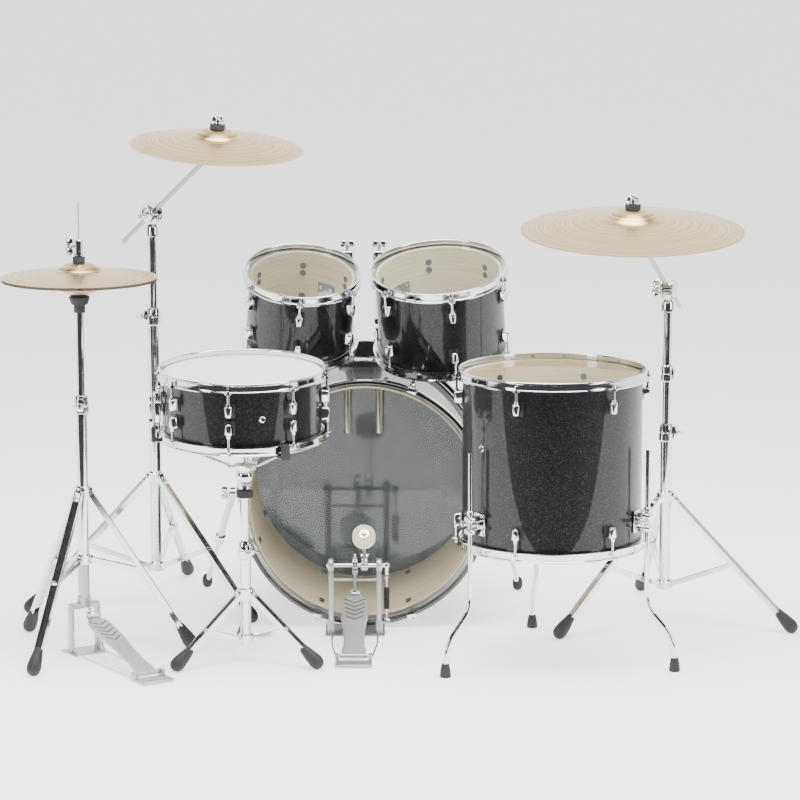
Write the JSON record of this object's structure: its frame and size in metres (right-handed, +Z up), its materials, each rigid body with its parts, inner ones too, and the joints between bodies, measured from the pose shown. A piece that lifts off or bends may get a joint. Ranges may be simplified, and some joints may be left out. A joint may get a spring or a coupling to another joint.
{
  "type": "acoustic drum kit",
  "caption": "Acoustic drum kit of bass drum, mounted toms, floor tom and snare in a black glitter wrap, with hi-hat, crash and ride cymbals on boom stands.",
  "frame": {"origin": "on the floor, under the centre of the bass drum's batter hoop", "axes": "+X to the player's right, +Y away from the player along the bass drum, +Z up"},
  "size_m": [1.8384, 1.1319, 1.2169],
  "materials": {
    "glitter_wrap": "wood ply shell in a black glitter wrap, high gloss",
    "chrome": "polished chrome plate",
    "black_wood": "black gloss lacquer",
    "clear_film": "clear polyester film",
    "coated_film": "white sprayed polyester film",
    "black_film": "black gloss polyester film",
    "bronze": "lathed bronze",
    "steel": "satin steel",
    "felt": "dense cream felt"
  },
  "bodies": {
    "kit_base": {"bass_shell": "glitter_wrap", "bass_batter_hoop": "black_wood", "bass_front_hoop": "black_wood", "bass_batter_head": "clear_film", "bass_front_head": "black_film", "tom_mount": "chrome", "floor_tom_shell": "glitter_wrap", "floor_tom_top_rim": "chrome", "floor_tom_bottom_rim": "chrome", "floor_tom_top_head": "clear_film", "floor_tom_bottom_head": "clear_film", "snare_stand_base": "chrome", "hihat_base": "chrome", "crash_stand_base": "chrome", "ride_stand_base": "chrome", "kick_pedal_frame": "chrome", "kick_pedal_spring": "steel"},
    "spur_left": {"bass_spur_left": "chrome"},
    "spur_right": {"bass_spur_right": "chrome"},
    "post_left": {"tom_post_left": "chrome"},
    "post_right": {"tom_post_right": "chrome"},
    "small_tom": {"tom_10_shell": "glitter_wrap", "tom_10_top_rim": "chrome", "tom_10_bottom_rim": "chrome", "tom_10_top_head": "clear_film", "tom_10_bottom_head": "clear_film", "tom_10_bracket": "chrome"},
    "large_tom": {"tom_12_shell": "glitter_wrap", "tom_12_top_rim": "chrome", "tom_12_bottom_rim": "chrome", "tom_12_top_head": "clear_film", "tom_12_bottom_head": "clear_film", "tom_12_bracket": "chrome"},
    "floor_leg_1": {"floor_tom_leg_1": "chrome"},
    "floor_leg_2": {"floor_tom_leg_2": "chrome"},
    "floor_leg_3": {"floor_tom_leg_3": "chrome"},
    "snare_post": {"snare_stand_post": "chrome"},
    "snare_drum": {"snare_shell": "glitter_wrap", "snare_top_rim": "chrome", "snare_bottom_rim": "chrome", "snare_batter_head": "coated_film", "snare_bottom_head": "clear_film", "snare_strainer": "chrome", "snare_stand_basket": "chrome"},
    "strainer_lever": {"snare_strainer_lever": "chrome"},
    "snare_wires": {"snare_wires": "steel"},
    "kick_footboard": {"kick_pedal_footboard": "steel"},
    "kick_beater": {"kick_pedal_beater": "felt"},
    "hihat_top_section": {"hihat_upper_tube": "chrome", "hihat_bottom_cymbal": "bronze"},
    "hihat_rod": {"hihat_pull_rod": "chrome", "hihat_clutch": "chrome", "hihat_top_cymbal": "bronze"},
    "hihat_footboard": {"hihat_footboard": "steel"},
    "crash_tube": {"crash_tube": "chrome"},
    "crash_boom": {"crash_boom": "chrome"},
    "crash_cymbal": {"crash_cymbal": "bronze"},
    "ride_tube": {"ride_tube": "chrome"},
    "ride_boom": {"ride_boom": "chrome"},
    "ride_cymbal": {"ride_cymbal": "bronze"}
  },
  "joints": [
    {"name": "spur_left_fold", "type": "hinge", "parent": "kit_base", "child": "spur_left", "pos_m": [-0.3235, 0.25, 0.274], "axis": [1, 0, 0], "range_deg": [0, 56]},
    {"name": "spur_right_fold", "type": "hinge", "parent": "kit_base", "child": "spur_right", "pos_m": [0.3235, 0.25, 0.274], "axis": [1, 0, 0], "range_deg": [0, 60]},
    {"name": "tom_post_left_height", "type": "slide", "parent": "kit_base", "child": "post_left", "axis": [0, 0, 1], "range_m": [0, 0.12]},
    {"name": "tom_post_right_height", "type": "slide", "parent": "kit_base", "child": "post_right", "axis": [0, 0, 1], "range_m": [0, 0.12]},
    {"name": "small_tom_tilt", "type": "hinge", "parent": "post_left", "child": "small_tom", "pos_m": [-0.045, 0.36, 0.8344], "axis": [1, 0, 0], "range_deg": [-20, 1]},
    {"name": "large_tom_tilt", "type": "hinge", "parent": "post_right", "child": "large_tom", "pos_m": [0.033, 0.36, 0.8344], "axis": [1, 0, 0], "range_deg": [-16, 1]},
    {"name": "floor_leg_1_height", "type": "slide", "parent": "kit_base", "child": "floor_leg_1", "axis": [0, 0, 1], "range_m": [-0.05, 0.1]},
    {"name": "floor_leg_2_height", "type": "slide", "parent": "kit_base", "child": "floor_leg_2", "axis": [0, 0, 1], "range_m": [-0.05, 0.1]},
    {"name": "floor_leg_3_height", "type": "slide", "parent": "kit_base", "child": "floor_leg_3", "axis": [0, 0, 1], "range_m": [-0.05, 0.1]},
    {"name": "snare_height", "type": "slide", "parent": "kit_base", "child": "snare_post", "axis": [0, 0, 1], "range_m": [-0.06, 0.08]},
    {"name": "snare_tilt", "type": "hinge", "parent": "snare_post", "child": "snare_drum", "pos_m": [-0.268, -0.328, 0.43], "axis": [1, 0, 0], "range_deg": [-6, 12]},
    {"name": "strainer_throw", "type": "hinge", "parent": "snare_drum", "child": "strainer_lever", "pos_m": [-0.47961, -0.32059, 0.55819], "axis": [0.0872, -0.9948, -0.0521], "range_deg": [0, 90]},
    {"name": "snare_wires_drop", "type": "slide", "parent": "snare_drum", "child": "snare_wires", "axis": [0, 0.0523, -0.9986], "range_m": [0, 0.0065]},
    {"name": "kick_footboard_press", "type": "hinge", "parent": "kit_base", "child": "kick_footboard", "pos_m": [-0.022, -0.345, 0.015], "axis": [1, 0, 0], "range_deg": [-8.28, 0], "stiffness_Nm_per_rad": 12, "springref_deg": 17.19},
    {"name": "kick_beater_swing", "type": "hinge", "parent": "kit_base", "child": "kick_beater", "pos_m": [-0.022, -0.07, 0.165], "axis": [1, 0, 0], "range_deg": [-74.5, 0], "deforming": ["kick_pedal_spring"]},
    {"name": "hihat_height", "type": "slide", "parent": "kit_base", "child": "hihat_top_section", "axis": [0, 0, 1], "range_m": [-0.1, 0.12]},
    {"name": "hihat_rod_lift", "type": "slide", "parent": "hihat_top_section", "child": "hihat_rod", "axis": [0, 0, 1], "range_m": [-0.0055, 0], "stiffness_N_per_m": 1500, "springref_m": 0.03},
    {"name": "hihat_footboard_press", "type": "hinge", "parent": "kit_base", "child": "hihat_footboard", "pos_m": [-0.48137, -0.49674, 0.014], "axis": [0.8425, 0.5388, 0], "range_deg": [-1.2, 0]},
    {"name": "crash_height", "type": "slide", "parent": "kit_base", "child": "crash_tube", "axis": [0, 0, 1], "range_m": [-0.06, 0.15]},
    {"name": "crash_boom_tilt", "type": "hinge", "parent": "crash_tube", "child": "crash_boom", "pos_m": [-0.51, 0.245, 0.958], "axis": [-0.7965, -0.6046, 0], "range_deg": [-12, 12]},
    {"name": "crash_cymbal_spin", "type": "hinge", "parent": "crash_boom", "child": "crash_cymbal", "pos_m": [-0.343, 0.025, 1.139], "axis": [0.061, -0.108, 0.9923], "continuous": true},
    {"name": "ride_height", "type": "slide", "parent": "kit_base", "child": "ride_tube", "axis": [0, 0, 1], "range_m": [-0.06, 0.15]},
    {"name": "ride_boom_tilt", "type": "hinge", "parent": "ride_tube", "child": "ride_boom", "pos_m": [0.714, 0.065, 0.802], "axis": [-0.9512, 0.3084, 0], "range_deg": [-12, 12]},
    {"name": "ride_cymbal_spin", "type": "hinge", "parent": "ride_boom", "child": "ride_cymbal", "pos_m": [0.607, -0.265, 0.979], "axis": [0, -0.1063, 0.9943], "continuous": true}
  ],
  "couplings": [
    {"joint": "kick_beater_swing", "follows": "kick_footboard_press", "ratio": 9},
    {"joint": "hihat_rod_lift", "follows": "hihat_footboard_press", "m_per_rad": 0.257},
    {"joint": "snare_wires_drop", "follows": "strainer_throw", "m_per_rad": 0.0041}
  ]
}
